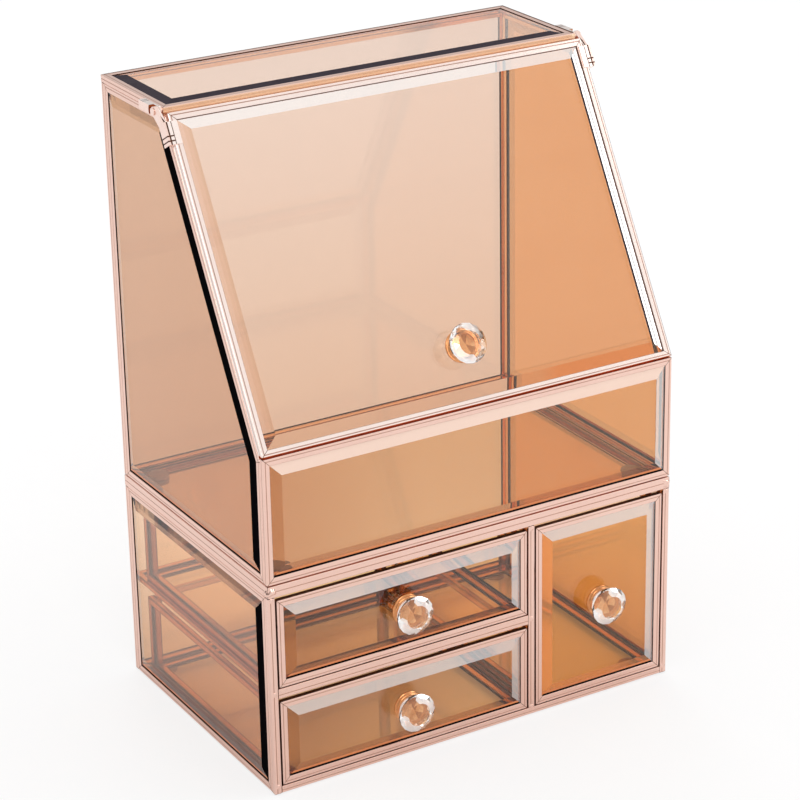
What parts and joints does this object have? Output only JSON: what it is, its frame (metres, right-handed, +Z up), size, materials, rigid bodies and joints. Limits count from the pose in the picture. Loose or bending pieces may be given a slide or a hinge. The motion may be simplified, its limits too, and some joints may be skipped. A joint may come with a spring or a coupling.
{
  "type": "glass makeup organizer",
  "caption": "Two stacked tinted glass cases in metal channel: a dust case with a tilting sloped lid over a base with two wide drawers and one tall drawer.",
  "frame": {"origin": "on the resting surface, at the centre of the plan box that holds the cases, the hinges and the drawer knobs", "axes": "+Z up from the surface, +Y from the drawer fronts to the back, +X to the right seen from the front"},
  "size_m": [0.2488, 0.172, 0.3365],
  "materials": {
    "came": "polished rose gold plating with fine lengthwise grooves",
    "hinge_metal": "polished rose gold plating",
    "knob_collar": "polished rose gold plating",
    "bevelled_glass": "amber tinted, polished, with ground bevels",
    "plain_glass": "amber tinted, polished",
    "crystal": "clear, cut and polished",
    "screw": "plated, with a clear washer",
    "pad": "clear soft pad"
  },
  "bodies": {
    "base": {"lower_left_glass": "bevelled_glass", "lower_right_glass": "bevelled_glass", "lower_back_glass": "plain_glass", "lower_top_glass": "plain_glass", "lower_bottom_glass": "plain_glass", "shelf_glass": "plain_glass", "divider_glass": "plain_glass", "lower_left_came": "came", "lower_right_came": "came", "lower_back_came": "came", "lower_top_came": "came", "lower_bottom_came": "came", "shelf_came": "came", "divider_came": "came", "lower_front_frame": "came", "lower_pads": "pad"},
    "top_drawer": {"top_drawer_front_glass": "bevelled_glass", "top_drawer_front_came": "came", "top_drawer_box_glass": "plain_glass", "top_drawer_box_came": "came", "top_drawer_knob_crystal": "crystal", "top_drawer_knob_collar": "knob_collar", "top_drawer_knob_screw": "screw"},
    "bottom_drawer": {"bottom_drawer_front_glass": "bevelled_glass", "bottom_drawer_front_came": "came", "bottom_drawer_box_glass": "plain_glass", "bottom_drawer_box_came": "came", "bottom_drawer_knob_crystal": "crystal", "bottom_drawer_knob_collar": "knob_collar", "bottom_drawer_knob_screw": "screw"},
    "tall_drawer": {"tall_drawer_front_glass": "bevelled_glass", "tall_drawer_front_came": "came", "tall_drawer_box_glass": "plain_glass", "tall_drawer_box_came": "came", "tall_drawer_knob_crystal": "crystal", "tall_drawer_knob_collar": "knob_collar", "tall_drawer_knob_screw": "screw"},
    "upper_case": {"upper_back_glass": "plain_glass", "upper_left_glass": "bevelled_glass", "upper_right_glass": "bevelled_glass", "upper_top_glass": "bevelled_glass", "upper_floor_glass": "plain_glass", "upper_front_glass": "bevelled_glass", "upper_back_came": "came", "upper_left_came": "came", "upper_right_came": "came", "upper_top_came": "came", "upper_floor_came": "came", "upper_front_came": "came", "upper_pads": "pad", "hinge_plate_left": "hinge_metal", "hinge_plate_right": "hinge_metal", "hinge_rivets": "hinge_metal"},
    "lid": {"hinge_arm_left": "hinge_metal", "hinge_arm_right": "hinge_metal", "lid_glass": "bevelled_glass", "lid_came": "came", "lid_knob_crystal": "crystal", "lid_knob_collar": "knob_collar", "lid_knob_screw": "screw"}
  },
  "joints": [
    {"name": "lift_upper", "type": "slide", "parent": "base", "child": "upper_case", "axis": [0, 0, 1], "range_m": [0, 0.1]},
    {"name": "lid_hinge", "type": "hinge", "parent": "upper_case", "child": "lid", "pos_m": [0, 0.01895, 0.3338], "axis": [-1, 0, 0], "range_deg": [0, 152]},
    {"name": "top_drawer_slide", "type": "slide", "parent": "base", "child": "top_drawer", "axis": [0, -1, 0], "range_m": [0, 0.11]},
    {"name": "bottom_drawer_slide", "type": "slide", "parent": "base", "child": "bottom_drawer", "axis": [0, -1, 0], "range_m": [0, 0.11]},
    {"name": "tall_drawer_slide", "type": "slide", "parent": "base", "child": "tall_drawer", "axis": [0, -1, 0], "range_m": [0, 0.11]}
  ]
}
